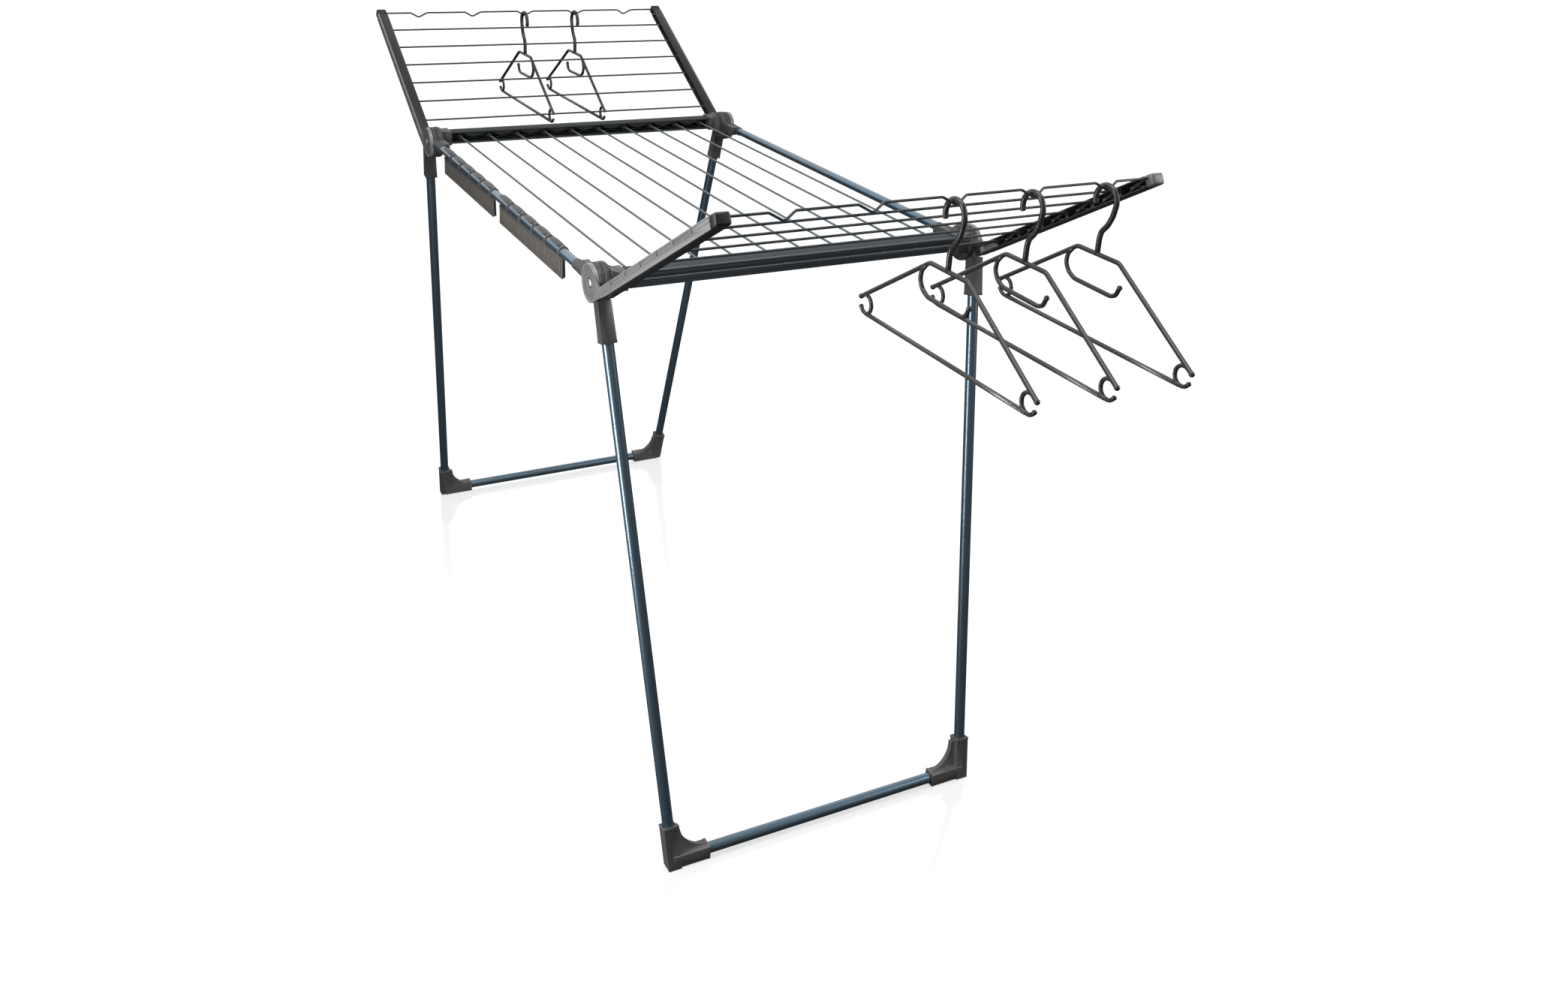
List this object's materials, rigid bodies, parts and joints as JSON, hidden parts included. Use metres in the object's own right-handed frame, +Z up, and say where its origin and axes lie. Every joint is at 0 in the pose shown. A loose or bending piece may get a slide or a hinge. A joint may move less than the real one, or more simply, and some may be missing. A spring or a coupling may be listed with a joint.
{
  "type": "folding clothes drying rack",
  "caption": "Folding clothes drying rack with a wire table, two raised folding wings, splayed folding leg frames, comb strips on one side tube and hooked-on clothes hangers.",
  "frame": {"origin": "on the floor under the middle of the table", "axes": "+X along the rack towards the wing with more hangers, +Y across the rack away from the comb strips, +Z up"},
  "size_m": [2.1829, 0.6916, 1.149],
  "materials": {
    "tube_steel": "blue-grey metallic paint, satin gloss",
    "rail_plastic": "blue-grey moulded plastic, ribbed inside",
    "rivet_steel": "bright turned steel",
    "wire_steel": "grey coated wire",
    "hanger_plastic": "glossy black",
    "comb_plastic": "dark clips with flexible grey-brown fins",
    "charcoal_plastic": "charcoal with a fine moulded grain"
  },
  "bodies": {
    "table_frame": {"side_tube_left": "tube_steel", "side_tube_right": "tube_steel", "end_rail_front": "rail_plastic", "end_rail_rear": "rail_plastic", "hinge_block_front_left": "charcoal_plastic", "hinge_block_front_right": "charcoal_plastic", "hinge_block_rear_left": "charcoal_plastic", "hinge_block_rear_right": "charcoal_plastic", "rivets_front": "rivet_steel", "rivets_rear": "rivet_steel", "table_wire_1": "wire_steel", "table_wire_2": "wire_steel", "table_wire_3": "wire_steel", "table_wire_4": "wire_steel", "table_wire_5": "wire_steel", "table_wire_6": "wire_steel", "table_wire_7": "wire_steel", "table_wire_8": "wire_steel", "table_wire_9": "wire_steel", "table_wire_10": "wire_steel"},
    "front_wing": {"front_arm_left": "charcoal_plastic", "front_arm_right": "charcoal_plastic", "front_wire_1": "wire_steel", "front_wire_2": "wire_steel", "front_wire_3": "wire_steel", "front_wire_4": "wire_steel", "front_wire_5": "wire_steel", "front_wire_6": "wire_steel", "front_wire_7": "wire_steel"},
    "rear_wing": {"rear_arm_left": "charcoal_plastic", "rear_arm_right": "charcoal_plastic", "rear_wire_1": "wire_steel", "rear_wire_2": "wire_steel", "rear_wire_3": "wire_steel", "rear_wire_4": "wire_steel", "rear_wire_5": "wire_steel", "rear_wire_6": "wire_steel", "rear_wire_7": "wire_steel"},
    "front_legs": {"leg_socket_front_left": "charcoal_plastic", "leg_socket_front_right": "charcoal_plastic", "leg_tube_front_left": "tube_steel", "leg_tube_front_right": "tube_steel", "foot_front_left": "charcoal_plastic", "foot_front_right": "charcoal_plastic", "cross_tube_front": "tube_steel"},
    "rear_legs": {"leg_socket_rear_left": "charcoal_plastic", "leg_socket_rear_right": "charcoal_plastic", "leg_tube_rear_left": "tube_steel", "leg_tube_rear_right": "tube_steel", "foot_rear_left": "charcoal_plastic", "foot_rear_right": "charcoal_plastic", "cross_tube_rear": "tube_steel"},
    "front_comb": {"comb_front": "comb_plastic"},
    "rear_comb": {"comb_rear": "comb_plastic"},
    "hanger_front_1_body": {"hanger_front_1": "hanger_plastic"},
    "hanger_front_2_body": {"hanger_front_2": "hanger_plastic"},
    "hanger_front_3_body": {"hanger_front_3": "hanger_plastic"},
    "hanger_rear_1_body": {"hanger_rear_1": "hanger_plastic"},
    "hanger_rear_2_body": {"hanger_rear_2": "hanger_plastic"}
  },
  "joints": [
    {"name": "front_wing_fold", "type": "hinge", "parent": "table_frame", "child": "front_wing", "pos_m": [0.471, 0, 0.93], "axis": [0, -1, 0], "range_deg": [0, 149.9]},
    {"name": "rear_wing_fold", "type": "hinge", "parent": "table_frame", "child": "rear_wing", "pos_m": [-0.471, 0, 0.93], "axis": [0, -1, 0], "range_deg": [-151.1, 0]},
    {"name": "front_leg_fold", "type": "hinge", "parent": "table_frame", "child": "front_legs", "pos_m": [0.471, 0, 0.93], "axis": [0, 1, 0], "range_deg": [0, 88]},
    {"name": "rear_leg_fold", "type": "hinge", "parent": "table_frame", "child": "rear_legs", "pos_m": [-0.471, 0, 0.93], "axis": [0, -1, 0], "range_deg": [0, 70]},
    {"name": "front_comb_swivel", "type": "hinge", "parent": "table_frame", "child": "front_comb", "pos_m": [0.1675, -0.333, 0.933], "axis": [1, 0, 0], "range_deg": [-45, 45]},
    {"name": "rear_comb_swivel", "type": "hinge", "parent": "table_frame", "child": "rear_comb", "pos_m": [-0.2005, -0.333, 0.933], "axis": [1, 0, 0], "range_deg": [-45, 45]},
    {"name": "hanger_front_1_swing", "type": "hinge", "parent": "front_wing", "child": "hanger_front_1_body", "pos_m": [0.8808, 0, 1.13172], "axis": [0, 1, 0], "range_deg": [-12, 12]},
    {"name": "hanger_front_2_swing", "type": "hinge", "parent": "front_wing", "child": "hanger_front_2_body", "pos_m": [0.8808, 0.1253, 1.13172], "axis": [0, 1, 0], "range_deg": [-12, 12]},
    {"name": "hanger_front_3_swing", "type": "hinge", "parent": "front_wing", "child": "hanger_front_3_body", "pos_m": [0.8808, 0.2506, 1.13172], "axis": [0, 1, 0], "range_deg": [-12, 12]},
    {"name": "hanger_rear_1_swing", "type": "hinge", "parent": "rear_wing", "child": "hanger_rear_1_body", "pos_m": [-0.88493, 0, 1.12309], "axis": [0, 1, 0], "range_deg": [-12, 12]},
    {"name": "hanger_rear_2_swing", "type": "hinge", "parent": "rear_wing", "child": "hanger_rear_2_body", "pos_m": [-0.88493, 0.1253, 1.12309], "axis": [0, 1, 0], "range_deg": [-12, 12]}
  ]
}
